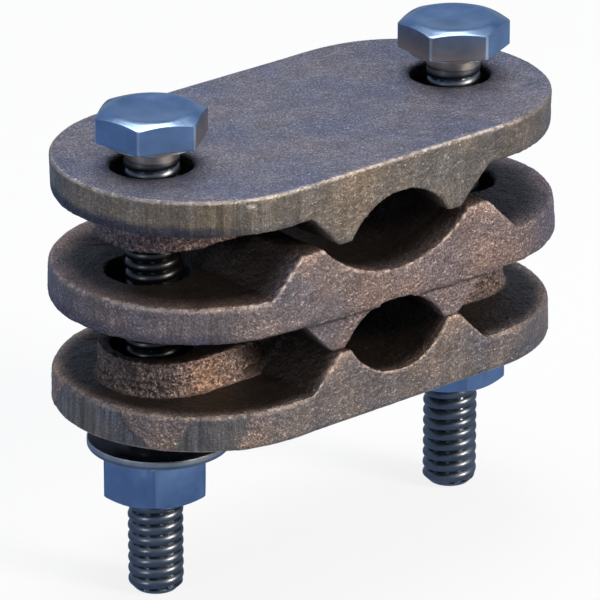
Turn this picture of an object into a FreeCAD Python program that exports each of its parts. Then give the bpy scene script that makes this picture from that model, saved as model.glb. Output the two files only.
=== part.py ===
import FreeCAD, Part
import math
import os

V = FreeCAD.Vector

# Grounding clamp, millimetres, +Z up. X runs along the plates from one bolt to
# the other, Y along the channels. The origin is the middle of the rod channel,
# on the plane where the bottom and the middle plate meet.

# Plates: bronze sand castings with rounded ends
plate_width = 31.9          # across the straight long sides
end_span = 29.8             # between the centres of the two end rounds
outer_thick = 4.25          # rim of the top and bottom plates
middle_thick = 4.25         # rim of the middle plate
hole_to_end = 9.45          # from a bolt hole's axis to the end of its plate
hole_diameter = 8.8
draft_deg = 1.5             # taper of the cast walls
plate_contact = 0.05        # what grit and scale leave between two plates
middle_x = 0.05             # the middle plate lies off centre and askew,
middle_turn = -2.3          # loose on its bolts

# Ridges that bite on the rod and the conductor
ridge_rise = 3.85           # rod ridges on all three plates
ridge_tip = 8.6             # half width over the tips of a pair of rod ridges
ridge_flank_deg = 45
rod_radius = 7.94           # grooves fit a rod of 15.9 mm
rod_floor_sunk = 0.3        # groove floor below the plate's inner face
cable_rise = 4.05           # wide pair on top of the middle plate
cable_tip = 12.8
cable_radius = 13.6
cable_floor_sunk = 0.4

# Raised bars round the bolt holes of the top and bottom plates
boss_radius = 7.15          # at the foot
boss_to_end = 10.75         # from the centre of its rounded end to the plate's end
boss_draft_deg = 3.5

# Cast roundings
root_round = 0.6            # inner corners at ridges and bosses
tip_round = 0.4
inner_rim_round = 0.6       # as cast, on the sides that face each other
edge_chamfer = 0.3          # ground outer faces and bolt holes

# Hex bolts, nuts and washers of stainless steel
thread_diameter = 6.05
thread_pitch = 1.27
thread_depth = 0.6
plain_neck = 1.1            # left smooth under the head
bolt_length = 51.55         # under the head
hex_across = 10.9
head_height = 3.7           # with its washer face
washer_face_height = 0.4
washer_face_diameter = 10.3
head_chamfer_deg = 20
head_circle = 0.86          # flat top of the head over the width across flats
nut_chamfer_deg = 30
nut_circle = 0.94
end_chamfer = 0.75
underhead_round = 0.35
nut_height = 5.7
nut_fit = 0.05              # running clearance of the nut on the bolt
nut_countersink = 0.5
washer_diameter = 15.6
washer_hole = 7.14
washer_thick = 0.95
washer_chamfer = 0.15

# Where each loose fastener hangs: sideways place of the bolt in its hole, height
# of the head over the top plate, gap from bottom plate to washer, turn of the
# hexagons about the bolt, and where the washer lies on its nut
fasteners = {
    "left": {
        "side": -1,
        "bolt_x": 0.05,
        "head_gap": 2.5,
        "washer_gap": 2.7,
        "head_turn": 37.2,
        "nut_turn": 49.0,
        "washer_x": 0.4,
        "washer_y": -0.25,
    },
    "right": {
        "side": 1,
        "bolt_x": 0.5,
        "head_gap": 2.65,
        "washer_gap": 1.2,
        "head_turn": 23.4,
        "nut_turn": 3.5,
        "washer_x": 0.2,
        "washer_y": 0.3,
    },
}

# Levels, from the plane where the two lower plates meet
bottom_tip = -plate_contact / 2
bottom_inner = bottom_tip - ridge_rise
bottom_face = bottom_inner - outer_thick
middle_low_tip = plate_contact / 2
middle_under = middle_low_tip + ridge_rise
middle_floor = middle_under + middle_thick
middle_high_tip = middle_floor + cable_rise
top_tip = middle_high_tip + plate_contact
top_inner = top_tip + ridge_rise
top_face = top_inner + outer_thick

half_width = plate_width / 2
half_span = end_span / 2
hole_spacing = 2 * (half_span + half_width - hole_to_end)
boss_centre = half_span + half_width - boss_to_end
slope = math.tan(math.radians(draft_deg))
bar_sunk = inner_rim_round + 0.4    # how far the raised bars reach into the plate
EPS = 1e-3


def slab(z_wide, z_far):
    """Plate outline as a solid: full width at z_wide, tapering to z_far."""
    height = abs(z_far - z_wide)
    far = half_width - height * slope
    up = 1 if z_far > z_wide else -1
    base = V(0, 0, z_wide)
    ends = [
        Part.makeCone(half_width, far, height, base + V(s * half_span, 0, 0), V(0, 0, up))
        for s in (-1, 1)
    ]
    section = Part.makePolygon([
        V(-half_span, -half_width, z_wide),
        V(-half_span, half_width, z_wide),
        V(-half_span, far, z_far),
        V(-half_span, -far, z_far),
        V(-half_span, -half_width, z_wide),
    ])
    body = Part.Face(section).extrude(V(end_span, 0, 0))
    return body.fuse(ends).removeSplitter()


def plate(z_wide, z_far, both=False):
    """Slab with its cast edges rounded: the far one, or both."""
    solid = slab(z_wide, z_far)
    edges = rim_edges(solid, z_far)
    if both:
        edges += rim_edges(solid, z_wide)
    return solid.makeFillet(inner_rim_round, edges)


def foot_arc(foot, angle, z_inner, up):
    """Rounding at the foot of a sloping wall, from the wall down to the plate.

    It is three points, each a distance from the middle plane and a height.
    """
    reach = root_round * math.tan(angle / 2)
    return [
        (foot + reach - root_round * math.sin(a), z_inner + up * root_round * (1 - math.cos(a)))
        for a in (angle, angle / 2, 0)
    ]


def half_section(tip, arc, z_tip, z_sunk, place):
    """Half the cross-section of a raised bar, from its middle plane outwards."""
    low = arc[-1][0]
    curve = [place(u, z) for u, z in arc]
    corners = [place(low, z_sunk), place(0, z_sunk), place(0, z_tip), place(tip, z_tip)]
    lines = [
        Part.makeLine(start, end)
        for start, end in zip([curve[-1]] + corners, corners + [curve[0]])
    ]
    return Part.Face(Part.Wire([Part.Arc(*curve).toShape()] + lines))


def ridge_block(tip_half, z_inner, z_tip):
    """Bar along Y with sloping flanks, which a groove will split in two ridges."""
    up = 1 if z_tip > z_inner else -1
    flank = math.radians(ridge_flank_deg)
    foot = tip_half + abs(z_tip - z_inner) / math.tan(flank)
    arc = foot_arc(foot, flank, z_inner, up)
    halves = [
        half_section(tip_half, arc, z_tip, z_inner - up * bar_sunk,
                     lambda u, z: V(side * u, -plate_width, z)).extrude(V(0, 2 * plate_width, 0))
        for side in (-1, 1)
    ]
    return halves[0].fuse(halves[1]).removeSplitter()


def groove(radius, z_inner, z_tip, sunk):
    """Round-bottomed channel along Y."""
    up = 1 if z_tip > z_inner else -1
    z_axis = z_inner + up * (radius - sunk)
    start = V(0, -plate_width, z_axis)
    return Part.makeCylinder(radius, 2 * plate_width, start, V(0, 1, 0))


def boss(side, z_inner, z_tip):
    """Bar from a round end past the bolt hole to the ridges."""
    up = 1 if z_tip > z_inner else -1
    tip = boss_radius - abs(z_tip - z_inner) * math.tan(math.radians(boss_draft_deg))
    arc = foot_arc(boss_radius, math.radians(90 - boss_draft_deg), z_inner, up)
    z_sunk = z_inner - up * bar_sunk
    centre = side * boss_centre
    middle = V(centre, 0, 0)
    end = half_section(tip, arc, z_tip, z_sunk, lambda u, z: V(centre + u, 0, z))
    end = end.revolve(middle, V(0, 0, 1), 360)
    walls = [
        half_section(tip, arc, z_tip, z_sunk, lambda u, z: V(centre, hand * u, z))
        for hand in (-1, 1)
    ]
    bars = [wall.extrude(V(side * ridge_tip, 0, 0) - middle) for wall in walls]
    return end.fuse(bars).removeSplitter()


def hole(side, z_low, z_high):
    start = V(side * hole_spacing / 2, 0, z_low - 1)
    return Part.makeCylinder(hole_diameter / 2, z_high - z_low + 2, start)


def on_outline(point):
    """Whether a point lies on the outer wall of a plate, within its taper."""
    x = max(abs(point.x) - half_span, 0.0)
    return math.hypot(x, point.y) > half_width - 1.0


def edge_points(edge):
    first, last = edge.ParameterRange
    return [edge.valueAt(first + (last - first) * k / 4) for k in range(5)]


def flat_at(edge, z):
    return all(abs(p.z - z) < EPS for p in edge_points(edge))


def near_hole(points):
    reach = hole_diameter / 2 + 0.1
    return all(math.hypot(abs(p.x) - hole_spacing / 2, p.y) < reach for p in points)


def tip_edges(solid, z_tip):
    return [e for e in solid.Edges if flat_at(e, z_tip)]


def rim_edges(solid, z):
    """Outer edge of the plate at level z."""
    found = []
    for edge in solid.Edges:
        points = edge_points(edge)
        if flat_at(edge, z) and all(on_outline(p) for p in points):
            found.append(edge)
    return found


def hole_edges(solid, z):
    return [e for e in solid.Edges if flat_at(e, z) and near_hole(edge_points(e))]


def outer_plate(z_face, z_inner, z_tip):
    """Top or bottom plate: flat outside, rod ridges and two bosses inside."""
    bars = [ridge_block(ridge_tip, z_inner, z_tip)]
    bars += [boss(side, z_inner, z_tip) for side in (-1, 1)]
    raised = bars[0].fuse(bars[1:]).common(slab(z_face, z_tip))
    solid = plate(z_face, z_inner).fuse(raised).removeSplitter()
    solid = solid.cut(groove(rod_radius, z_inner, z_tip, rod_floor_sunk))
    solid = solid.removeSplitter()
    solid = solid.makeFillet(tip_round, tip_edges(solid, z_tip))
    low, high = sorted((z_face, z_tip))
    solid = solid.cut([hole(side, low, high) for side in (-1, 1)])
    edges = rim_edges(solid, z_face) + hole_edges(solid, z_face) + hole_edges(solid, z_tip)
    return solid.makeChamfer(edge_chamfer, edges)


def middle_plate():
    """Middle plate: rod ridges below, the wide pair above, no bosses."""
    body = plate(middle_under, middle_floor, both=True)
    below = ridge_block(ridge_tip, middle_under, middle_low_tip)
    above = ridge_block(cable_tip, middle_floor, middle_high_tip)
    raised = [
        below.common(slab(middle_under, middle_low_tip)),
        above.common(slab(middle_under, middle_high_tip)),
    ]
    solid = body.fuse(raised).removeSplitter()
    solid = solid.cut([
        groove(rod_radius, middle_under, middle_low_tip, rod_floor_sunk),
        groove(cable_radius, middle_floor, middle_high_tip, cable_floor_sunk),
    ])
    solid = solid.removeSplitter()
    tips = tip_edges(solid, middle_low_tip) + tip_edges(solid, middle_high_tip)
    solid = solid.makeFillet(tip_round, tips)
    solid = solid.cut([hole(side, middle_under, middle_floor) for side in (-1, 1)])
    edges = hole_edges(solid, middle_under) + hole_edges(solid, middle_floor)
    solid = solid.makeChamfer(edge_chamfer, edges)
    solid.rotate(V(0, 0, 0), V(0, 0, 1), middle_turn)
    solid.translate(V(middle_x, 0, 0))
    return solid


def hexagon(height, z_low):
    """Upright hexagonal prism with a corner on +X."""
    corner = hex_across / math.sqrt(3)
    ring = [
        V(corner * math.cos(math.radians(60 * k)), corner * math.sin(math.radians(60 * k)), z_low)
        for k in range(7)
    ]
    return Part.Face(Part.makePolygon(ring)).extrude(V(0, 0, height))


def turned(profile):
    """Solid of revolution about Z from (radius, z) points."""
    points = [V(r, 0, z) for r, z in profile]
    face = Part.Face(Part.makePolygon(points + points[:1]))
    return face.revolve(V(0, 0, 0), V(0, 0, 1), 360)


def chamfered_hexagon(height, z_low, ratio, angle, below):
    """Hexagon with its top corners, and if wanted its lower ones, turned off."""
    z_high = z_low + height
    circle = hex_across / 2 * ratio
    outer = hex_across
    drop = (outer - circle) * math.tan(math.radians(angle))
    profile = [(0, z_low)]
    if below:
        profile += [(circle, z_low), (outer, z_low + drop)]
    else:
        profile += [(outer, z_low)]
    profile += [(outer, z_high - drop), (circle, z_high), (0, z_high)]
    return hexagon(height, z_low).common(turned(profile))


def thread_profile(z_high, z_low):
    """Crests and roots of the thread as (radius, z) points, drawn as turned grooves."""
    crest = thread_diameter / 2
    turns = int((z_high - z_low) / thread_pitch)
    points = [(crest, z_high)]
    for k in range(turns):
        z = z_high - k * thread_pitch
        points += [(crest - thread_depth, z - thread_pitch / 2), (crest, z - thread_pitch)]
    return points


def bolt(turn):
    """Hex bolt, bearing face of the head at z = 0, shank downwards."""
    height = head_height - washer_face_height
    hexagonal = chamfered_hexagon(
        height, washer_face_height, head_circle, head_chamfer_deg, False)
    hexagonal.rotate(V(0, 0, 0), V(0, 0, 1), turn)
    r = thread_diameter / 2
    face = washer_face_diameter / 2
    top = washer_face_height + 0.5
    shank = turned([
        (0, top),
        (face, top),
        (face, 0),
        (r + underhead_round, 0),
        (r, -underhead_round),
    ] + thread_profile(-plain_neck, -bolt_length + end_chamfer) + [
        (r, -bolt_length + end_chamfer),
        (r - end_chamfer, -bolt_length),
        (0, -bolt_length),
    ])
    return hexagonal.fuse(shank).removeSplitter()


def nut(turn):
    """Hex nut chamfered on both sides, top face at z = 0."""
    solid = chamfered_hexagon(nut_height, -nut_height, nut_circle, nut_chamfer_deg, True)
    bore = thread_diameter / 2 + nut_fit
    wide = bore + nut_countersink
    cutter = turned([
        (0, 1),
        (wide + 1, 1),
        (bore, -nut_countersink),
        (bore, -nut_height + nut_countersink),
        (wide + 1, -nut_height - 1),
        (0, -nut_height - 1),
    ])
    solid = solid.cut(cutter)
    solid.rotate(V(0, 0, 0), V(0, 0, 1), turn)
    return solid


def washer():
    """Flat washer, underside at z = 0, outer edges broken."""
    inner = washer_hole / 2
    outer = washer_diameter / 2
    ring = Part.makeCylinder(outer, washer_thick).cut(Part.makeCylinder(inner, washer_thick))
    edges = [e for e in ring.Edges if flat_at(e, washer_thick) or flat_at(e, 0)]
    edges = [e for e in edges if on_circle(e, outer)]
    return ring.makeChamfer(washer_chamfer, edges)


def on_circle(edge, radius):
    return all(abs(math.hypot(p.x, p.y) - radius) < EPS for p in edge_points(edge))


parts = {
    "bottom_plate": outer_plate(bottom_face, bottom_inner, bottom_tip),
    "middle_plate": middle_plate(),
    "top_plate": outer_plate(top_face, top_inner, top_tip),
}

for name, place in fasteners.items():
    x = place["side"] * hole_spacing / 2 + place["bolt_x"]
    head_z = top_face + place["head_gap"]
    washer_top = bottom_face - place["washer_gap"]
    washer_low = washer_top - washer_thick
    screw = bolt(place["head_turn"])
    screw.translate(V(x, 0, head_z))
    hex_nut = nut(place["nut_turn"])
    hex_nut.translate(V(x, 0, washer_low))
    ring = washer()
    ring.translate(V(x + place["washer_x"], place["washer_y"], washer_low))
    parts["bolt_" + name] = screw
    parts["nut_" + name] = hex_nut
    parts["washer_" + name] = ring

os.makedirs("parts", exist_ok=True)
for name, shape in parts.items():
    solid = shape.Solids[0] if len(shape.Solids) == 1 else shape
    solid.exportStep("parts/" + name + ".step")
    print(name, len(shape.Solids), shape.isValid(), round(shape.Volume, 1), len(shape.Faces))
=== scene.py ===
import math

import bmesh
import bpy
import numpy as np
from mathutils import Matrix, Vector, noise


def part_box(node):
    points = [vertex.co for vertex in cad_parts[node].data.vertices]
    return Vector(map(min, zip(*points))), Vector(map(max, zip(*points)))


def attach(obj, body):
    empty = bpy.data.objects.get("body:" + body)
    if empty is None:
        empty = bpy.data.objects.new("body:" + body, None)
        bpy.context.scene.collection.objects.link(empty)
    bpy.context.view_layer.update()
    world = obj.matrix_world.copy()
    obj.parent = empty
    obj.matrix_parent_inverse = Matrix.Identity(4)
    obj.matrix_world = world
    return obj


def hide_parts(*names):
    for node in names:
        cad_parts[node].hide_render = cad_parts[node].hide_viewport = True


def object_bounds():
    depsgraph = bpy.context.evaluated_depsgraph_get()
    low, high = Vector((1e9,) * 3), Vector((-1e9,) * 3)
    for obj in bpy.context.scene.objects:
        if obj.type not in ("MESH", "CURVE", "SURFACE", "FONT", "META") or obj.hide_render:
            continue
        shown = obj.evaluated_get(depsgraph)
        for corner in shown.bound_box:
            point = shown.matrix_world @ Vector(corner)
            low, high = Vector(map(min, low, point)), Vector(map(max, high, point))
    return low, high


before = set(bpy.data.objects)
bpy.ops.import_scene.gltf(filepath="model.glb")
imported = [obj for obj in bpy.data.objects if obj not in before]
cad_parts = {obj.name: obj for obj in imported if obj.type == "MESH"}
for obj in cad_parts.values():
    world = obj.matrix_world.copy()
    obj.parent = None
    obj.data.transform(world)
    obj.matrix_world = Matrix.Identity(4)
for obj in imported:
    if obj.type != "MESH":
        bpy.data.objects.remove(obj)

MM = 0.001

cad_low, cad_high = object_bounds()


def extent(name):
    """Middle of a CAD node in X and Y, and its lowest and highest level, in millimetres."""
    low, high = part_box(name)
    return (low.x + high.x) / 2 / MM, (low.y + high.y) / 2 / MM, low.z / MM, high.z / MM


TOP_FACE = extent("top_plate")[3]
BOTTOM_FACE = extent("bottom_plate")[2]

# Sizes repeated from the construction, in millimetres and degrees
HEAD_TURN = {"left": 37.2, "right": 23.4}
NUT_TURN = {"left": 49.0, "right": 3.5}
HEX_ACROSS = 10.9
HEAD_HEIGHT = 3.7
HEAD_CIRCLE_R = 4.69
HEAD_CHAMFER = 20
WASHER_FACE = 0.4
WASHER_FACE_R = 5.15
THREAD_R = 3.025
PITCH = 1.27
NUT_CIRCLE_R = 5.12
NUT_CHAMFER = 30
WASHER_BORE_R = 3.57
HALF_SPAN = 14.9                # from the middle of a plate to the centre of its round end
HALF_WIDTH = 15.95              # radius of that end
RIM = 4.25                      # thickness of the plates' rims
HOLE_X = 21.4                   # from the middle of a plate to the axis of its bolt hole
MIDDLE_TURN = -2.3              # the middle plate sits askew in its loose holes
MIDDLE_LEVEL = 6.0              # height of the middle of its rim

# Details that only the scene has
LIT_FACETS = {"left": (307.2,), "right": (173.4, 233.4)}   # headings of head flats painted grey-brown and duller as light falls on them
LIT_REACH = 12                 # degrees either side of such a heading
HEAD_FADE = (23.2, 26.0)        # heights between which those flats go from painted grey-brown light to a duller blue
# radius and depth of the shallow dish in the top of a head
HEAD_DISH = ((0.6, 0.10), (1.6, 0.10), (2.6, 0.09), (3.3, 0.06), (3.9, 0.015), (4.3, 0.0))
SHARP_EDGE = 24                 # degrees between the faces of an edge shaded sharp
CORNER_EASE = 0.11              # taken off the corners of a hexagon
CHAMFER_EASE = 0.03             # share of a chamfer's width that rounds its outer edge
THREAD_DEPTH = 0.58
THREAD_SHIFT = 0.34             # where along the axis the helix begins
THREAD_RUNOUT = 1.6             # length over which the thread fades out below the head
THREAD_TIP = 0.75               # length and depth of the turned end
THREAD_STEPS = 12               # rings a turn
PLAIN_SHANK = 1.5               # length under the head before the thread
NECK = 1.6                      # length under the head with a colour of its own
SHADED_THREAD = (-9.5, -7.5, 18.5, 20.0)    # heights inside the plates, where the thread is painted darker as shade
VOXEL = 0.2                     # squares of the castings' first meshes
KEPT_SHARE = 0.5                # of their faces
LEDGE = 0.35                    # how far the middle plate's lower ridges stand back
LEDGE_Z = 3.8                   # height of that ledge
PIT = (2.93, 5.62)              # small blow hole in the top face
CHIP = (-20.3, -15.0, 19.5)     # nick in the top plate's edge
CHIP_SIZE = (0.6, 1.0, 0.3)

# Bands over which the castings' marks come and go, in millimetres
UNEVENNESS = (0.16, 0.5, 1.9)   # broad, middle and fine, in waves a millimetre
LYING = (0.6, 0.95)             # upright share of the normal
RIM_WALL = (0.5, 1.0)           # inwards from the outline
HOLE_WALL = (4.65, 4.9)         # out from a hole's axis
# painted shade round a hole on the ground face, out from its axis
HOLE_SHADE = (4.3, 5.8)
HOLE_PLAIN = (5.0, 6.0)
BAR_WALL = (2.5, 4.0)           # inwards from the outline
BAR_FROM = 12.5                 # out from the middle of the clamp
BAR_SHADOW = (13.4, 16.5)
CHANNEL_HALF = 7.6
CHANNEL_DARK = (0.2, 5.0)       # painted shade, inwards from the ends of a channel
FRONT_DEPTH = 1.5
FRONT_HALF = 14.5
LEDGE_SHADOW = (0.1, 0.3)               # painted shadow line, above and below the ledge
LEDGE_SHADOW_FROM = 3.0
WORN_LIT_EDGE = (0.042, 0.075)      # how far an edge stands out, to be bright from use and painted bright
LIP = (0.25, 0.7)               # painted highlight, away from a rim's upper edge
EDGE_LINE = (0.15, 0.40)        # painted highlight line, away from a ground face's edge
EDGE_BARE = (0.7, 1.4)
RIGHT_PLAIN = (10.0, 17.0)     # along the clamp
RIGHT_UNLINED = (14.0, 20.0)
# along the clamp, over which a bar's wall goes from painted shade to painted light
BAR_LIGHTING = (-25.5, -19.0)
RIGHT_BAR_LIGHTING = 0.35
UNDERSIDE = (-1.2, -0.35)       # painted purple shade on a rim's lower edge, above the middle of a rim
UNDERSIDE_END = (14.0, 21.0)    # round the outline from the left tip
RIGHT_SHADE = (47.0, 64.0)
TIP_GLOW = (0.5, 3.4)           # away from a ridge tip


# Bolts, nuts and washers
def new_object(name, bm):
    mesh = bpy.data.meshes.new(name)
    bm.to_mesh(mesh)
    bm.free()
    for polygon in mesh.polygons:
        polygon.use_smooth = True
    mesh.set_sharp_from_angle(angle=math.radians(SHARP_EDGE))
    obj = bpy.data.objects.new(name, mesh)
    bpy.context.scene.collection.objects.link(obj)
    return obj


def hex_radius(angle, across, turn):
    """Distance from the axis to the side of a hexagon, its corners eased a little."""
    a = (math.degrees(angle) - turn) % 60.0
    flat = across / 2 / math.cos(math.radians(a - 30))
    corner = across / math.sqrt(3)
    return min(flat, corner - CORNER_EASE)


def around(turn):
    """Angles round the axis, closer together at the six corners."""
    steps = [0.0, 0.7, 1.6, 4.0, 9.0, 16.0, 23.0, 30.0, 37.0, 44.0, 51.0, 56.0, 58.4, 59.3]
    return [math.radians(turn + 60 * k + step) for k in range(6) for step in steps]


def skin(bm, rings, closed):
    """Faces between rings of vertices, and over both ends if closed."""
    made = [[bm.verts.new(Vector(p) * MM) for p in ring] for ring in rings]
    count = len(made[0])
    for low, high in zip(made, made[1:]):
        for k in range(count):
            n = (k + 1) % count
            bm.faces.new((low[k], low[n], high[n], high[k]))
    if closed:
        bm.faces.new(made[-1])
        bm.faces.new(list(reversed(made[0])))


def band(name, rings):
    """Object skinned over rings of vertices, the last joined to the first."""
    bm = bmesh.new()
    skin(bm, rings + rings[:1], False)
    bmesh.ops.remove_doubles(bm, verts=bm.verts, dist=1e-8)
    bmesh.ops.recalc_face_normals(bm, faces=bm.faces)
    return new_object(name, bm)


def circle_ring(angles, r, z, x, y):
    return [(x + r * math.cos(a), y + r * math.sin(a), z) for a in angles]


def hex_ring(angles, z, across, turn, x, y, inset=0.0):
    points = []
    for a in angles:
        r = hex_radius(a, across, turn) - inset
        points.append((x + r * math.cos(a), y + r * math.sin(a), z))
    return points


def chamfer_rings(angles, across, turn, circle, slope, z_flat, up, x, y):
    """Rings from the side of a hexagon over its turned corners to the flat end."""
    drop = math.tan(math.radians(slope))
    rings = []
    # the first ring lies on the flats and the second rounds the edge over them
    for share in (0.0, CHAMFER_EASE, 0.1, 0.35, 0.7, 1.0):
        ring = []
        for a in angles:
            side = hex_radius(a, across, turn)
            edge = z_flat - up * (side - circle) * drop
            if share == 0.0:
                ring.append((x + side * math.cos(a), y + side * math.sin(a), edge - up * 0.07))
                continue
            r = side + (circle - side) * share
            z = z_flat - up * (r - circle) * drop
            if share == CHAMFER_EASE:
                r, z = r - 0.01, z - up * 0.015
            ring.append((x + r * math.cos(a), y + r * math.sin(a), z))
        rings.append(ring)
    return rings


def is_corner(normal, turn):
    """Whether a face lies on the eased edge between two flats of a hexagon."""
    heading = (math.degrees(math.atan2(normal.y, normal.x)) - turn) % 60.0
    return abs(normal.z) < 0.2 and min(heading, 60.0 - heading) < 15.0


def thread_radius(z, angle, z_start, z_end):
    """Rolled thread: round crests, narrow roots, run out above and turned down at its end."""
    phase = ((z - THREAD_SHIFT) / PITCH - angle / (2 * math.pi)) % 1.0
    wave = math.sqrt(1.0 - abs(2.0 * phase - 1.0) ** 2.0)
    fade = min((z_start - z) / THREAD_RUNOUT, 1.0)
    r = THREAD_R - THREAD_DEPTH + THREAD_DEPTH * wave
    plain = THREAD_R - 0.04
    r = plain + (r - plain) * max(fade, 0.0)
    tip = (z - z_end) / THREAD_TIP
    if tip < 1.0:
        r = min(r, THREAD_R - THREAD_TIP * (1.0 - tip))
    return r


def bolt_mesh(side):
    x, y, z_end, z_top = extent("bolt_" + side)
    bearing = z_top - HEAD_HEIGHT
    z_hex = bearing + WASHER_FACE
    z_start = bearing - PLAIN_SHANK
    turn = HEAD_TURN[side]
    angles = around(turn)
    # from the middle of the head's top outwards, then down
    rings = [circle_ring(angles, r, z_top - dip, x, y) for r, dip in HEAD_DISH]
    rings += list(reversed(chamfer_rings(
        angles, HEX_ACROSS, turn, HEAD_CIRCLE_R, HEAD_CHAMFER, z_top, 1, x, y)))
    for z, inset in (((z_top + z_hex) / 2 - 0.3, 0.0), (z_hex + 0.08, 0.0),
                     (z_hex + 0.02, 0.05), (z_hex, 0.12)):
        rings.append(hex_ring(angles, z, HEX_ACROSS, turn, x, y, inset))
    for r, z in ((WASHER_FACE_R + 0.02, z_hex), (WASHER_FACE_R, z_hex - 0.04),
                 (WASHER_FACE_R, bearing + 0.05), (WASHER_FACE_R - 0.05, bearing),
                 (THREAD_R + 0.35, bearing), (THREAD_R + 0.10, bearing - 0.07),
                 (THREAD_R - 0.02, bearing - 0.3), (THREAD_R - 0.04, z_start)):
        rings.append(circle_ring(angles, r, z, x, y))
    count = int((z_start - z_end) / (PITCH / THREAD_STEPS))
    for k in range(1, count + 1):
        z = z_start - (z_start - z_end) * k / count
        ring = []
        for a in angles:
            r = thread_radius(z, a, z_start, z_end)
            ring.append((x + r * math.cos(a), y + r * math.sin(a), z))
        rings.append(ring)
    bm = bmesh.new()
    skin(bm, list(reversed(rings)), True)
    bmesh.ops.recalc_face_normals(bm, faces=bm.faces)
    obj = new_object("bolt_%s_threaded" % side, bm)
    points = vertex_values(obj.data, "co") / MM
    radius = np.hypot(points[:, 0] - x, points[:, 1] - y)
    level = points[:, 2]
    crest = smoothstep(THREAD_R - 0.85 * THREAD_DEPTH, THREAD_R - 0.1, radius)
    # the thread painted darker as shade inside the plates
    entered = smoothstep(SHADED_THREAD[0], SHADED_THREAD[1], level)
    left = smoothstep(SHADED_THREAD[2], SHADED_THREAD[3], level)
    store(obj.data, {"crest": crest, "deep": entered * (1 - left)})
    return obj


def nut_mesh(side):
    x, y, z_low, z_high = extent("nut_" + side)
    turn = NUT_TURN[side]
    angles = around(turn)
    bore = THREAD_R + 0.05
    rings = [circle_ring(angles, r, z, x, y)
             for r, z in ((bore, z_low + 0.5), (bore + 0.5, z_low), (4.5, z_low))]
    rings += list(reversed(chamfer_rings(
        angles, HEX_ACROSS, turn, NUT_CIRCLE_R, NUT_CHAMFER, z_low, -1, x, y)))
    rings.append(hex_ring(angles, (z_low + z_high) / 2, HEX_ACROSS, turn, x, y))
    rings += chamfer_rings(
        angles, HEX_ACROSS, turn, NUT_CIRCLE_R, NUT_CHAMFER, z_high, 1, x, y)
    rings += [circle_ring(angles, r, z, x, y)
              for r, z in ((4.5, z_high), (bore + 0.5, z_high), (bore, z_high - 0.5))]
    return band("nut_%s_hex" % side, rings)


def washer_mesh(side):
    x, y, z_low, z_high = extent("washer_" + side)
    low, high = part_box("washer_" + side)
    outer = (high.x - low.x) / 2 / MM
    inner = WASHER_BORE_R
    angles = [2 * math.pi * k / 144 for k in range(144)]
    # from the bore outwards below and back above, the upper edges worn rounder
    profile = [
        (inner, z_low + 0.05), (inner + 0.05, z_low), (outer - 0.2, z_low),
        (outer - 0.07, z_low + 0.03), (outer - 0.01, z_low + 0.14), (outer, z_low + 0.3),
        (outer, z_high - 0.55), (outer, z_high - 0.3),
        (outer - 0.02, z_high - 0.16), (outer - 0.09, z_high - 0.05),
        (outer - 0.24, z_high), (inner + 0.12, z_high), (inner + 0.03, z_high - 0.04),
        (inner, z_high - 0.12),
    ]
    rings = [circle_ring(angles, r, z, x, y) for r, z in profile]
    return band("washer_%s_flat" % side, rings)


# Plates
def baked(obj):
    """Give an object the mesh that its modifiers make of it."""
    graph = bpy.context.evaluated_depsgraph_get()
    mesh = bpy.data.meshes.new_from_object(obj.evaluated_get(graph))
    obj.modifiers.clear()
    obj.data = mesh


def even_mesh(plate):
    """Copy of a plate's mesh made of small even faces."""
    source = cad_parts[plate]
    obj = bpy.data.objects.new(plate + "_cast", source.data.copy())
    bpy.context.scene.collection.objects.link(obj)
    bm = bmesh.new()
    bm.from_mesh(obj.data)
    bmesh.ops.remove_doubles(bm, verts=bm.verts, dist=1e-7)
    bm.to_mesh(obj.data)
    bm.free()
    modifier = obj.modifiers.new("skin", "REMESH")
    modifier.mode = "VOXEL"
    modifier.voxel_size = VOXEL * MM
    modifier = obj.modifiers.new("fewer", "DECIMATE")
    modifier.ratio = KEPT_SHARE
    baked(obj)
    return obj


# Measures of every vertex
def smoothstep(low, high, value):
    t = np.clip((value - low) / (high - low), 0.0, 1.0)
    return t * t * (3 - 2 * t)


def vertex_values(mesh, what):
    """The place or the normal of every vertex, one a row."""
    flat = np.empty(len(mesh.vertices) * 3)
    mesh.vertices.foreach_get(what, flat)
    return flat.reshape(-1, 3)


def store(mesh, values):
    """Attributes that the materials read."""
    for name, numbers in values.items():
        layer = mesh.attributes.new(name, "FLOAT", "POINT")
        layer.data.foreach_set("value", numbers.astype(np.float32))


def neighbour_mean(values, edges, count):
    """Average of each vertex's neighbours."""
    total = np.zeros_like(values)
    for i, j in ((0, 1), (1, 0)):
        np.add.at(total, edges[:, i], values[edges[:, j]])
    return total / count


def standing_out(mesh, points, normals):
    """How far each vertex stands out from its surroundings, most at an edge."""
    ends = np.empty(len(mesh.edges) * 2, dtype=np.int64)
    mesh.edges.foreach_get("vertices", ends)
    edges = ends.reshape(-1, 2)
    count = np.bincount(ends, minlength=len(points)).astype(float)[:, None]
    blurred = points
    for _ in range(4):
        blurred = neighbour_mean(blurred, edges, count)
    convex = ((points - blurred) * normals).sum(1)[:, None]
    return neighbour_mean(convex, edges, count)[:, 0]


def noise_at(points, scale, shift):
    return np.array([noise.noise(Vector(p) * scale + shift) for p in points])


def squared_up(points, turn):
    """The same points with the plate turned back to lie along X."""
    back = math.radians(-turn)
    local = points.copy()
    local[:, 0] = points[:, 0] * math.cos(back) - points[:, 1] * math.sin(back)
    local[:, 1] = points[:, 0] * math.sin(back) + points[:, 1] * math.cos(back)
    return local


def from_rim(points):
    """Distance inwards from the outline of the plates."""
    x = np.maximum(np.abs(points[:, 0]) - HALF_SPAN, 0.0)
    return HALF_WIDTH - np.hypot(x, points[:, 1])


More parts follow.
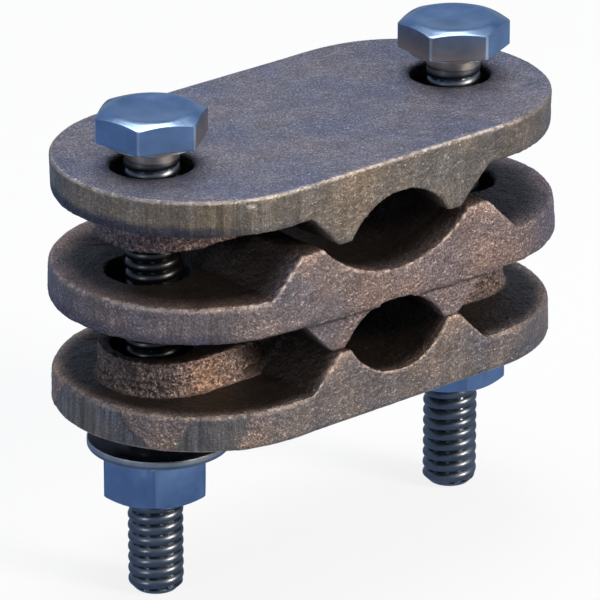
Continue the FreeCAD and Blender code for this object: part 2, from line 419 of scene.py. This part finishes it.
def along_rim(points):
    """Distance round the outline from the left tip."""
    x = np.abs(points[:, 0])
    turned = HALF_WIDTH * np.arctan2(np.maximum(x - HALF_SPAN, 0.0), np.abs(points[:, 1]))
    along = np.minimum(x, HALF_SPAN) + turned
    return HALF_SPAN + HALF_WIDTH * math.pi / 2 + along * np.sign(points[:, 0])


class Surface:
    """Measures of every vertex of a plate, in millimetres."""

    def __init__(self, mesh, seed, turn, mid_level, ground_face):
        self.points = vertex_values(mesh, "co") / MM
        self.normals = vertex_values(mesh, "normal")
        self.x = self.points[:, 0]
        self.z = self.points[:, 2]
        self.convex = standing_out(mesh, self.points, self.normals)

        shift = Vector((seed * 13.7, seed * 5.1, seed * 9.3))
        self.broad, self.middle, self.fine = [
            noise_at(self.points, scale, shift) for scale in UNEVENNESS]

        # out from the middle, in from a long side, out from a hole, in from the outline,
        # round the outline and up from the middle of the rim
        local = squared_up(self.points, turn)
        self.span = np.abs(local[:, 0])
        self.depth = HALF_WIDTH - np.abs(local[:, 1])
        self.from_bolt = np.hypot(self.span - HOLE_X, local[:, 1])
        self.inwards = from_rim(local)
        self.along = along_rim(local) + 0.8 * self.middle + 0.4 * self.fine
        self.lift = self.z - mid_level

        # 1 on flat places, on the rim's wall, on the ground face, near a long side's wall
        # and in a bolt hole, and 0 elsewhere
        self.lying = smoothstep(*LYING, np.abs(self.normals[:, 2]))
        self.rim_wall = (1 - smoothstep(*RIM_WALL, self.inwards)) * (1 - self.lying)
        self.face = np.zeros(len(self.x))
        if ground_face is not None:
            self.face = (np.abs(self.z - ground_face) < 0.25) * self.lying
        self.front = (self.depth < FRONT_DEPTH) * (self.span < FRONT_HALF)
        self.bore = 1 - smoothstep(*HOLE_WALL, self.from_bolt)


def ground_marks(at, soft, marks):
    """Where the rim was ground. A mark begins and ends along the rim, leaning with height."""
    ground = np.zeros(len(at.x))
    for begin, begin_lean, end, end_lean, strength in marks:
        entered = smoothstep(-soft, soft, at.along - begin - begin_lean * at.lift)
        left = smoothstep(-soft, soft, at.along - end - end_lean * at.lift)
        ground = np.maximum(ground, strength * entered * (1 - left) * at.rim_wall)
    return ground


def bar_walls(at, barred):
    """The walls of the bars round the bolt holes."""
    walls = smoothstep(*BAR_WALL, at.inwards) * (1 - at.lying)
    return walls * (at.span > BAR_FROM) * (1 - at.bore) * barred


def dark_places(at, walls, foot, reach, ledged):
    """Inner floors, flanks, channels, holes and the bars' inner ends, darkened as painted
    shade, with painted shade round the holes and a painted shadow line at the ledge.
    """
    upright = np.where(at.span < foot, 0.92, 0.3)
    inside = smoothstep(0.3, reach, at.inwards) * (upright + (1 - upright) * at.lying)
    inside *= 1 - 0.9 * walls
    inside = np.maximum(inside, at.bore)
    channel = (at.span < CHANNEL_HALF) * smoothstep(*CHANNEL_DARK, at.depth)
    hollow = np.maximum(inside, channel) * (1 - at.face)
    # painted shade round the holes on the ground face
    hollow += 0.55 * at.face * (1 - smoothstep(*HOLE_SHADE, at.from_bolt + 0.8 * at.middle))
    hollow = np.maximum(hollow, 0.85 * walls * (1 - smoothstep(*BAR_SHADOW, at.span)))
    if ledged:
        # a painted shadow line along the ledge
        ledge_shadow = 1 - smoothstep(*LEDGE_SHADOW, np.abs(at.z - LEDGE_Z - 0.05))
        hollow = np.maximum(hollow, 0.65 * ledge_shadow * at.front * (at.span > LEDGE_SHADOW_FROM))
    return hollow


def worn_and_lit_places(at, foot, ground_face, chip):
    """Edges made bright by use, and painted highlights on lips and along edges, more on upward
    faces, where the light falls, than below and less at the right end.
    """
    sparse = np.clip(0.6 + 0.9 * at.middle + 2.2 * at.fine, 0.0, 1.0)
    wear_and_highlight = smoothstep(*WORN_LIT_EDGE, at.convex) * sparse
    # brighter on upward faces, as painted light from above
    wear_and_highlight *= 0.1 + 0.9 * smoothstep(-0.15, 0.35, at.normals[:, 2])
    inside = np.maximum(at.inwards, 0.0)
    # a painted highlight along the rim's upper edge
    lip = 1 - smoothstep(*LIP, np.hypot(inside, at.lift - RIM / 2))
    lip = lip * np.clip(0.5 + at.middle + 1.2 * at.fine, 0.0, 1.0)
    wear_and_highlight = np.maximum(wear_and_highlight, 0.6 * lip * (at.span > foot))
    wear_and_highlight *= 1 - 0.8 * smoothstep(*RIGHT_PLAIN, at.x)
    if ground_face is not None:
        # a painted highlight line along the ground face's edge
        patchy = 0.55 + 0.9 * at.middle + 0.9 * at.fine
        from_edge = np.hypot(inside, at.z - ground_face)
        line = (1 - smoothstep(*EDGE_LINE, from_edge)) * np.clip(1.7 * patchy, 0.15, 1.0)
        line *= 1 - 0.7 * smoothstep(*RIGHT_UNLINED, at.x)
        wear_and_highlight = np.maximum(wear_and_highlight * smoothstep(*EDGE_BARE, from_edge), line)
    wear_and_highlight *= smoothstep(*HOLE_PLAIN, at.from_bolt)
    return np.maximum(wear_and_highlight, 0.8 * chip)


def skin_moves(at, ground, walls, wear_and_highlight, pit, chip):
    """How far each vertex moves out along its normal."""
    rough = 0.09 * at.broad + 0.09 * at.middle + 0.07 * at.fine - 0.05
    rough += 0.10 * at.rim_wall
    even = (0.02 * at.broad + 0.01 * at.fine) * (1 - at.face) - 0.04
    move = rough + (even - rough) * np.maximum(at.face, ground)
    move += 0.15 * walls * at.fine - 0.45 * pit
    move -= 0.06 * wear_and_highlight * (0.5 + at.fine) + 0.10 * chip
    return move


def casting(plate, seed, turn, ground_face, mid_level, foot, reach, tip, glow, underside,
            soft, marks):
    """Plate with the uneven skin, edges bright from use and grinding marks of a sand casting,
    with painted highlights and painted shade besides.
    """
    obj = even_mesh(plate)
    mesh = obj.data
    at = Surface(mesh, seed, turn, mid_level, ground_face)
    # the outer plates have bars and a ground face, the middle one has a parting-line ledge
    barred = ground_face is not None
    ledged = not barred

    ground = ground_marks(at, soft, marks)
    walls = bar_walls(at, barred)
    chip = 1 - smoothstep(0.6, 1.2, np.linalg.norm((at.points - CHIP) / CHIP_SIZE, axis=1))
    wear_and_highlight = worn_and_lit_places(at, foot, ground_face, chip)
    # a bar's wall painted lit copper towards the right and shaded on the left
    lit_wall = smoothstep(*BAR_LIGHTING, at.x + 1.5 * at.middle)
    # the lower edge of a rim painted purple as shade
    under = 1 - smoothstep(*UNDERSIDE, at.lift + 0.35 * at.middle)
    under *= underside * (1 - smoothstep(*UNDERSIDE_END, at.along)) * at.rim_wall
    from_tip = np.hypot(at.span - tip[0], at.z - tip[1]) + 0.8 * at.middle
    away = np.hypot((at.x - PIT[0]) / 1.5, at.points[:, 1] - PIT[1])
    pit = (1 - smoothstep(0.15, 0.55, away)) * at.face * (at.z > 0)
    store(mesh, {
        "wear_and_highlight": wear_and_highlight,
        "ground": ground,
        "hollow": dark_places(at, walls, foot, reach, ledged),
        "face": at.face,
        "wall": walls,
        "lit_wall": np.where(at.x < 0, lit_wall, RIGHT_BAR_LIGHTING),
        "under": under,
        "tip": glow * (1 - smoothstep(*TIP_GLOW, from_tip)) * at.rim_wall,
        "shade": smoothstep(*RIGHT_SHADE, at.along + 4.0 * at.broad),
        "pit": pit,
    })

    moved = at.points + at.normals * skin_moves(at, ground, walls, wear_and_highlight, pit, chip)[:, None]
    if ledged:
        below = 1 - smoothstep(LEDGE_Z - 0.15, LEDGE_Z + 0.1, at.z)
        moved[:, 1] -= LEDGE * below * at.front * np.sign(at.points[:, 1])
    mesh.vertices.foreach_set("co", (moved * MM).ravel())
    for polygon in mesh.polygons:
        polygon.use_smooth = True
    mesh.update()
    modifier = obj.modifiers.new("shading", "WEIGHTED_NORMAL")
    modifier.keep_sharp = False
    modifier.weight = 70
    baked(obj)
    return obj


# Materials
# near-black brown of the painted shade in the hollows
SHADE_COLOUR = (0.022, 0.015, 0.010)
COPPER = (0.400, 0.262, 0.190)
SHADED_TINT = (0.62, 0.68, 0.84)
PURPLE_TINT = (0.27, 0.32, 0.54)
PIT_COLOUR = (0.012, 0.03, 0.085)
SHADED_STEEL = (0.055, 0.053, 0.052)


def make_material(name):
    material = bpy.data.materials.new(name)
    material.use_nodes = True
    tree = material.node_tree
    return material, tree, tree.nodes["Principled BSDF"]


def node(tree, kind, **values):
    """New shader node with its sockets or its own settings filled in."""
    made = tree.nodes.new(kind)
    for key, value in values.items():
        if key in made.inputs:
            made.inputs[key].default_value = value
        else:
            setattr(made, key, value)
    return made


def join(tree, source, socket):
    """Link an output, or write a number or a colour on the socket itself."""
    if isinstance(source, (int, float)):
        socket.default_value = source
    elif isinstance(source, tuple):
        socket.default_value = (*source, 1.0)
    else:
        tree.links.new(source, socket)


def ramp(tree, source, stops):
    """Colour ramp through stops of a place and a grey or a colour."""
    made = tree.nodes.new("ShaderNodeValToRGB")
    elements = made.color_ramp.elements
    while len(elements) < len(stops):
        elements.new(0.5)
    for element, (position, colour) in zip(elements, stops):
        element.position = position
        element.color = (*colour, 1.0) if isinstance(colour, tuple) else (colour,) * 3 + (1.0,)
    join(tree, source, made.inputs["Fac"])
    return made.outputs["Color"]


def noise_of(tree, vector, scale, detail, rough):
    made = node(tree, "ShaderNodeTexNoise", Scale=scale, Detail=detail, Roughness=rough)
    join(tree, vector, made.inputs["Vector"])
    return made.outputs["Fac"]


def mixed(tree, factor, a, b, blend="MIX"):
    made = tree.nodes.new("ShaderNodeMix")
    made.data_type = "RGBA"
    made.blend_type = blend
    join(tree, factor, made.inputs["Factor"])
    join(tree, a, made.inputs["A"])
    join(tree, b, made.inputs["B"])
    return made.outputs["Result"]


def tinted(tree, colour, tint, factor=1.0):
    return mixed(tree, factor, colour, tint, "MULTIPLY")


def maths(tree, kind, a, b):
    made = tree.nodes.new("ShaderNodeMath")
    made.operation = kind
    join(tree, a, made.inputs[0])
    join(tree, b, made.inputs[1])
    return made.outputs["Value"]


def times(tree, a, b):
    return maths(tree, "MULTIPLY", a, b)


def plus(tree, a, b):
    return maths(tree, "ADD", a, b)


def one_less(tree, a):
    return maths(tree, "SUBTRACT", 1.0, a)


def attribute(tree, name):
    made = tree.nodes.new("ShaderNodeAttribute")
    made.attribute_name = name
    return made.outputs["Fac"]


def stretch(tree, value, low, high):
    """Value carried from the range low to high onto 0 to 1."""
    made = tree.nodes.new("ShaderNodeMapRange")
    join(tree, value, made.inputs["Value"])
    made.inputs["From Min"].default_value = low
    made.inputs["From Max"].default_value = high
    return made.outputs["Result"]


def relief(tree, shader, height, strength, distance):
    bump = node(tree, "ShaderNodeBump", Strength=strength, Distance=distance)
    join(tree, height, bump.inputs["Height"])
    join(tree, bump.outputs["Normal"], shader.inputs["Normal"])


def cast_bronze(name, seed, face_colour, side_colour, ground_colour, wall_colour, worn_lit_colour,
                worn_lit_strength, shade_strength):
    """Sand-cast bronze: grainy skin, ground marks with streaks, edges bright from use, painted
    highlights and painted shade.
    """
    material, tree, shader = make_material(name)
    coords = tree.nodes.new("ShaderNodeTexCoord")
    place = node(tree, "ShaderNodeMapping", Location=(seed, seed * 0.7, seed * 0.3))
    join(tree, coords.outputs["Object"], place.inputs["Vector"])
    vector = place.outputs["Vector"]
    ground = attribute(tree, "ground")
    face = attribute(tree, "face")
    on_wall = attribute(tree, "wall")

    blotch = noise_of(tree, vector, 110.0, 3.0, 0.5)
    cloud = noise_of(tree, vector, 400.0, 4.0, 0.6)
    coarse = noise_of(tree, vector, 1500.0, 4.0, 0.62)
    lumps = noise_of(tree, vector, 2200.0, 2.0, 0.5)
    grain = noise_of(tree, vector, 4200.0, 3.0, 0.7)

    # the alloy's colour from place to place, with painted light and shade on the bars' walls,
    # the right end and the rim's lower edge
    base = mixed(tree, ground, side_colour, ground_colour)
    # a bar's wall goes from its shaded colour to painted lit copper
    wall = mixed(tree, attribute(tree, "lit_wall"), wall_colour, COPPER)
    wall = tinted(tree, wall, ramp(tree, lumps, [(0.36, 0.6), (0.5, 0.95), (0.64, 1.6)]))
    base = mixed(tree, on_wall, base, wall)
    base = mixed(tree, face, base, face_colour)
    base = tinted(tree, base, ramp(
        tree, blotch, [(0.35, (0.80, 0.86, 1.02)), (0.65, (1.18, 1.08, 1.0))]))
    tone = ramp(tree, cloud, [(0.3, 0.78), (0.7, 1.2)])
    base = tinted(tree, base, tone)
    # the right end painted darker and bluer as shade
    shaded = times(tree, times(tree, attribute(tree, "shade"), shade_strength), one_less(tree, face))
    base = mixed(tree, shaded, base, tinted(tree, base, SHADED_TINT))
    base = mixed(tree, attribute(tree, "tip"), base, COPPER)
    # painted purple shade on the rim's lower edge
    base = mixed(tree, attribute(tree, "under"), base, tinted(tree, base, PURPLE_TINT))
    speck = ramp(tree, grain, [(0.34, 0.5), (0.5, 0.95), (0.6, 1.5), (0.68, 3.0)])
    base = tinted(tree, base, speck, one_less(tree, times(tree, ground, 0.55)))

    # upright streaks where the rim was ground
    upright = node(tree, "ShaderNodeMapping", Scale=(1.0, 1.0, 0.04))
    join(tree, vector, upright.inputs["Vector"])
    streak = noise_of(tree, upright.outputs["Vector"], 1500.0, 3.0, 0.6)
    streaked = tinted(tree, base, ramp(tree, streak, [(0.38, 0.65), (0.5, 0.95), (0.62, 1.5)]))
    base = mixed(tree, times(tree, times(tree, ground, ground), 0.75), base, streaked)

    # painted shade in the hollows, edges bright from use and painted highlights, and the blow
    # hole
    shade_tone = tinted(tree, SHADE_COLOUR, tone)
    # the hollows painted near black as shade
    base = mixed(tree, times(tree, attribute(tree, "hollow"), 0.92), base, shade_tone)
    # edges bright from use and painted highlights, in a light colour
    broken = ramp(tree, coarse, [(0.36, 0.35), (0.56, 1.0)])
    worn_lit = times(tree, attribute(tree, "wear_and_highlight"), broken)
    base = mixed(tree, times(tree, worn_lit, worn_lit_strength), base, worn_lit_colour)
    base = mixed(tree, attribute(tree, "pit"), base, PIT_COLOUR)
    join(tree, base, shader.inputs["Base Color"])
    shader.inputs["Metallic"].default_value = 0.7
    join(tree, ramp(tree, grain, [(0.3, 0.6), (0.7, 0.38)]), shader.inputs["Roughness"])

    height = plus(tree, times(tree, coarse, 1.2), times(tree, grain, 0.35))
    height = plus(tree, height, times(tree, cloud, 0.8))
    even = maths(tree, "MAXIMUM", ground, times(tree, face, 0.35))
    height = times(tree, height, one_less(tree, times(tree, even, 0.6)))
    height = plus(tree, height, times(tree, times(tree, streak, ground), 0.35))
    height = plus(tree, height, times(tree, times(tree, lumps, on_wall), 2.2))
    relief(tree, shader, height, 1.0, 0.00030)
    return material


def steel(name, colour, rough_low, rough_high, brushed=0.2, foot=None, root=None):
    """Stainless steel; foot and root colour the foot of a head's flats as painted light and a
    thread's roots as a painted light line, and a thread is painted darker as shade inside the
    plates.
    """
    material, tree, shader = make_material(name)
    coords = tree.nodes.new("ShaderNodeTexCoord")
    vector = coords.outputs["Object"]
    if foot:
        axes = tree.nodes.new("ShaderNodeSeparateXYZ")
        join(tree, vector, axes.inputs["Vector"])
        rise = stretch(tree, axes.outputs["Z"], HEAD_FADE[0] * MM, HEAD_FADE[1] * MM)
        colour = mixed(tree, rise, foot, colour)
    if root:
        # a painted light line in the thread's roots
        colour = mixed(tree, attribute(tree, "crest"), root, colour)
        # painted shade on the thread inside the plates
        colour = mixed(tree, attribute(tree, "deep"), colour, SHADED_STEEL)
    cloud = noise_of(tree, vector, 260.0, 4.0, 0.6)
    fine = noise_of(tree, vector, 2600.0, 3.0, 0.6)
    base = tinted(tree, colour, ramp(tree, cloud, [(0.3, 0.8), (0.7, 1.15)]))
    join(tree, base, shader.inputs["Base Color"])
    shader.inputs["Metallic"].default_value = 1.0
    rough = ramp(tree, cloud, [(0.3, rough_low), (0.7, rough_high)])
    join(tree, rough, shader.inputs["Roughness"])
    relief(tree, shader, fine, brushed, 0.00002)
    return material


bronze_top = cast_bronze(
    "cast_bronze_top", 0.3,
    face_colour=(0.150, 0.140, 0.158), side_colour=(0.210, 0.166, 0.128),
    ground_colour=(0.186, 0.148, 0.100), wall_colour=(0.115, 0.090, 0.095),
    worn_lit_colour=(0.62, 0.52, 0.44), worn_lit_strength=0.9, shade_strength=0.9)
bronze_middle = cast_bronze(
    "cast_bronze_middle", 1.1,
    face_colour=(0.17, 0.14, 0.13), side_colour=(0.225, 0.160, 0.130),
    ground_colour=(0.150, 0.130, 0.125), wall_colour=(0.110, 0.078, 0.062),
    worn_lit_colour=(0.74, 0.56, 0.45), worn_lit_strength=0.9, shade_strength=0.5)
bronze_bottom = cast_bronze(
    "cast_bronze_bottom", 2.4,
    face_colour=(0.14, 0.12, 0.12), side_colour=(0.215, 0.158, 0.124),
    ground_colour=(0.138, 0.124, 0.108), wall_colour=(0.150, 0.106, 0.082),
    worn_lit_colour=(0.60, 0.43, 0.32), worn_lit_strength=0.8, shade_strength=0.2)
# blue steel for heads and nuts, its blue a painted reflection of the blue surroundings
steel_head = steel("stainless_steel_head", (0.245, 0.325, 0.45), 0.16, 0.3)
# grey-brown, duller steel on a head's washer face and on flats at given headings: painted light
steel_lit = steel(
    "stainless_steel_lit", (0.23, 0.26, 0.32), 0.3, 0.42, foot=(0.42, 0.34, 0.28))
# lighter steel on the edges between a head's flats: painted highlight
steel_edge = steel("stainless_steel_edge", (0.46, 0.50, 0.56), 0.3, 0.4)
# lighter, warmer steel under a head: painted light
steel_neck = steel("stainless_steel_neck", (0.50, 0.45, 0.39), 0.25, 0.4)
# darker steel on the thread: painted shade, with a painted light line in its roots
steel_thread = steel(
    "stainless_steel_thread", (0.14, 0.145, 0.155), 0.30, 0.40, 0.01, root=(0.15, 0.16, 0.18))
# near-white steel on a nut's upper chamfer: painted highlight
steel_bright = steel("stainless_steel_bright", (0.78, 0.80, 0.84), 0.6, 0.7)
# darker blue steel on the edges between a nut's flats: painted shade
steel_corner = steel("stainless_steel_corner", (0.20, 0.26, 0.36), 0.2, 0.3)
# lighter steel on the top of a washer's outer wall: painted highlight
steel_rim = steel("stainless_steel_rim", (0.42, 0.40, 0.36), 0.3, 0.45)
# darker steel on the washers: painted shade
steel_washer = steel("stainless_steel_washer", (0.22, 0.23, 0.25), 0.25, 0.4)


# Which face of a fastener has which material
def paint(obj, materials, choose):
    """Give each face the material whose place in the list choose returns."""
    for material in materials:
        obj.data.materials.append(material)
    for polygon in obj.data.polygons:
        polygon.material_index = choose(polygon.normal, polygon.center)


def bolt_finish(side):
    """Thread, neck painted lighter, edges of the head painted as highlights, its washer face
    and the flats at given headings painted grey-brown as light, and the rest.
    """
    bearing = extent("bolt_" + side)[3] - HEAD_HEIGHT
    neck = (bearing - 0.05) * MM
    flats = (bearing + WASHER_FACE) * MM

    def choose(normal, centre):
        heading = math.degrees(math.atan2(normal.y, normal.x))
        lit_flat = any(abs((heading - a + 180) % 360 - 180) < LIT_REACH for a in LIT_FACETS[side])
        if centre.z < neck - NECK * MM:
            return 1
        if centre.z < neck:
            return 3
        if is_corner(normal, HEAD_TURN[side]):
            return 4
        # the washer face and the flats at given headings get painted light
        if centre.z < flats or (lit_flat and abs(normal.z) < 0.1):
            return 2
        return 0
    return choose


def nut_finish(side):
    """Upper chamfer in near-white steel as painted highlight, edges between the flats in darker
    steel as painted shade, and the rest.
    """
    _, _, z_low, z_high = extent("nut_" + side)
    halfway = (z_low + z_high) / 2 * MM

    def choose(normal, centre):
        if 0.1 < normal.z < 0.95 and centre.z > halfway:
            return 1
        return 2 if is_corner(normal, NUT_TURN[side]) else 0
    return choose


def washer_finish(side):
    """The top of the outer wall in lighter steel as painted highlight, and the rest."""
    low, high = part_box("washer_" + side)
    axis = (low + high) / 2

    def choose(normal, centre):
        outward = normal.x * (centre.x - axis.x) + normal.y * (centre.y - axis.y)
        top_band = centre.z > high.z - 0.5 * MM
        return 1 if outward > 0 and abs(normal.z) < 0.9 and top_band else 0
    return choose


# The plates. What their fields mean:
# ground_face, mid_level: heights of the ground outer face and of the middle of the rim
# foot: where the ridges' outer flanks end, out from the middle of the clamp
# reach: how far inwards the painted shade of the inner sides deepens
# tip, glow: place of the ridge tips, out and up, and how coppery they are
# underside: how strongly the lower edge of the rim is painted purple as shade
# soft: half the length over which a grinding mark fades in or out
# marks: where each begins, the lean of that end, where it ends, its lean, and its strength
plates = {
    "bottom_plate": (bronze_bottom, dict(
        seed=3, turn=0.0, ground_face=BOTTOM_FACE, mid_level=BOTTOM_FACE + RIM / 2,
        foot=13.4, reach=2.0, tip=(8.6, -0.03), glow=0.3, underside=0.0, soft=0.3, marks=(
            (-9.0, 0.0, 6.4, -0.95, 1.0), (12.0, 0.6, 18.4, 0.3, 1.0),
            (21.5, 0.0, 90.0, 0.0, 0.55)))),
    "middle_plate": (bronze_middle, dict(
        seed=7, turn=MIDDLE_TURN, ground_face=None, mid_level=MIDDLE_LEVEL,
        foot=17.2, reach=3.6, tip=(12.8, 12.4), glow=0.6, underside=0.5, soft=1.2, marks=(
            (14.0, 0.2, 19.0, 0.2, 0.9), (-9.0, 0.0, 33.0, 0.0, 0.5)))),
    "top_plate": (bronze_top, dict(
        seed=12, turn=0.0, ground_face=TOP_FACE, mid_level=TOP_FACE - RIM / 2,
        foot=13.4, reach=3.6, tip=(8.6, 12.5), glow=0.0, underside=1.0, soft=0.8, marks=(
            (14.6, 0.0, 18.6, 0.0, 1.0), (4.0, 0.0, 27.0, 0.0, 0.85),
            (-9.0, 0.0, 90.0, 0.0, 0.6)))),
}
for name, (material, look) in plates.items():
    piece = casting(name, **look)
    piece.data.materials.clear()
    piece.data.materials.append(material)
    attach(piece, name)
    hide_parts(name)

# The fasteners
for side in ("left", "right"):
    bolt = bolt_mesh(side)
    paint(bolt, [steel_head, steel_thread, steel_lit, steel_neck, steel_edge],
          bolt_finish(side))
    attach(bolt, "bolt_" + side)
    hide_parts("bolt_" + side)

    nut = nut_mesh(side)
    paint(nut, [steel_head, steel_bright, steel_corner], nut_finish(side))
    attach(nut, "nut_" + side)
    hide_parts("nut_" + side)

    washer = washer_mesh(side)
    paint(washer, [steel_washer, steel_rim], washer_finish(side))
    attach(washer, "washer_" + side)
    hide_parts("washer_" + side)

# Every CAD node also carries its own material, seen where nothing replaces it
for name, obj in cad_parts.items():
    obj.data.materials.clear()
    obj.data.materials.append(bronze_bottom if name.endswith("plate") else steel_head)

# Floor and surroundings, blue only where a ray mirrors them
FLOOR_HALF = 3.0
FLOOR_GAP = 0.0001
FLOOR_SLOPE = (0.754, -0.656, 0.0)      # across the view, in which the blue pales
FLOOR_RANGE = (-0.045, 0.03)
FLOOR_BLUES = ((0.12, 0.225, 0.44), (0.24, 0.365, 0.585))
SKY_BLUES = [
    (0.0, (0.10, 0.10, 0.12)), (0.12, (0.45, 0.50, 0.58)), (0.34, (0.24, 0.375, 0.60)),
    (0.55, (0.20, 0.34, 0.60)), (0.74, (0.66, 0.77, 0.92)), (0.95, (0.85, 0.90, 0.96))]


def either(tree, factor, shader, other):
    """Mix of two shaders: the first where the factor is 0, the other where it is 1."""
    made = tree.nodes.new("ShaderNodeMixShader")
    for source, socket in zip((factor, shader, other), made.inputs):
        join(tree, source, socket)
    return made.outputs["Shader"]


def make_floor():
    level = cad_low.z - FLOOR_GAP
    corners = [(x * FLOOR_HALF, y * FLOOR_HALF, level)
               for x, y in ((-1, -1), (1, -1), (1, 1), (-1, 1))]
    mesh = bpy.data.meshes.new("floor")
    mesh.from_pydata(corners, [], [(0, 1, 2, 3)])
    floor = bpy.data.objects.new("floor", mesh)
    bpy.context.scene.collection.objects.link(floor)
    material, tree, shader = make_material("pale_floor")
    shader.inputs["Base Color"].default_value = (0.8, 0.8, 0.8, 1.0)
    shader.inputs["Roughness"].default_value = 0.9
    paths = tree.nodes.new("ShaderNodeLightPath")
    glow = node(tree, "ShaderNodeEmission", Color=(1.0, 1.0, 1.0, 1.0), Strength=1.0)
    coords = tree.nodes.new("ShaderNodeTexCoord")
    across = node(tree, "ShaderNodeVectorMath", operation="DOT_PRODUCT")
    join(tree, coords.outputs["Object"], across.inputs[0])
    across.inputs[1].default_value = FLOOR_SLOPE
    pale = stretch(tree, across.outputs["Value"], *FLOOR_RANGE)
    shine = node(tree, "ShaderNodeEmission", Strength=1.0)
    join(tree, mixed(tree, pale, *FLOOR_BLUES), shine.inputs["Color"])
    seen = times(tree, paths.outputs["Is Camera Ray"], 0.85)
    plain = either(tree, seen, shader.outputs["BSDF"], glow.outputs["Emission"])
    mirrored = maths(tree, "MAXIMUM", paths.outputs["Is Glossy Ray"],
                     paths.outputs["Is Transmission Ray"])
    surface = either(tree, times(tree, mirrored, 0.9), plain, shine.outputs["Emission"])
    join(tree, surface, tree.nodes["Material Output"].inputs["Surface"])
    floor.data.materials.append(material)


def make_world():
    world = bpy.data.worlds.new("studio")
    bpy.context.scene.world = world
    world.use_nodes = True
    tree = world.node_tree
    soft = tree.nodes["Background"]
    soft.inputs["Color"].default_value = (0.80, 0.86, 1.0, 1.0)
    soft.inputs["Strength"].default_value = 0.22
    white = node(tree, "ShaderNodeBackground", Color=(1.0, 1.0, 1.0, 1.0), Strength=1.0)
    coords = tree.nodes.new("ShaderNodeTexCoord")
    direction = tree.nodes.new("ShaderNodeSeparateXYZ")
    join(tree, coords.outputs["Generated"], direction.inputs["Vector"])
    shine = node(tree, "ShaderNodeBackground", Strength=1.0)
    join(tree, ramp(tree, direction.outputs["Z"], SKY_BLUES), shine.inputs["Color"])
    paths = tree.nodes.new("ShaderNodeLightPath")
    light = either(tree, paths.outputs["Is Glossy Ray"],
                   soft.outputs["Background"], shine.outputs["Background"])
    surface = either(tree, paths.outputs["Is Camera Ray"], light, white.outputs["Background"])
    join(tree, surface, tree.nodes["World Output"].inputs["Surface"])


make_floor()
make_world()

# Lights and camera
TARGET = Vector((1.27, 2.08, -1.97)) * MM
CAMERA_PLACE = Vector((-388.26, -441.47, 236.90)) * MM


def aim(obj, place):
    """Put an object at a place and turn it to the middle of the clamp."""
    obj.location = place
    obj.rotation_mode = "QUATERNION"
    obj.rotation_quaternion = (TARGET - Vector(place)).to_track_quat("-Z", "Y")
    bpy.context.scene.collection.objects.link(obj)


def area_light(name, place, width, power, colour):
    """Square lamp aimed at the clamp, its place and width in metres."""
    data = bpy.data.lights.new(name, "AREA")
    data.shape = "RECTANGLE"
    data.size, data.size_y = width, width
    data.energy = power
    data.color = colour
    aim(bpy.data.objects.new(name, data), place)


area_light("key", (0.24, -0.63, 0.28), 0.22, 5.3, (1.0, 0.95, 0.87))
area_light("top", (0.05, 0.12, 0.62), 0.42, 2.9, (0.90, 0.93, 1.0))
area_light("left", (-0.60, -0.02, 0.14), 0.10, 0.75, (0.84, 0.90, 1.0))

camera_data = bpy.data.cameras.new("camera")
camera_data.sensor_width = 36.0
camera_data.lens = 348.7
camera_data.clip_start = 0.01
camera_data.clip_end = 20.0
camera = bpy.data.objects.new("camera", camera_data)
aim(camera, CAMERA_PLACE)
bpy.context.scene.camera = camera

bpy.context.scene.view_settings.view_transform = "Standard"
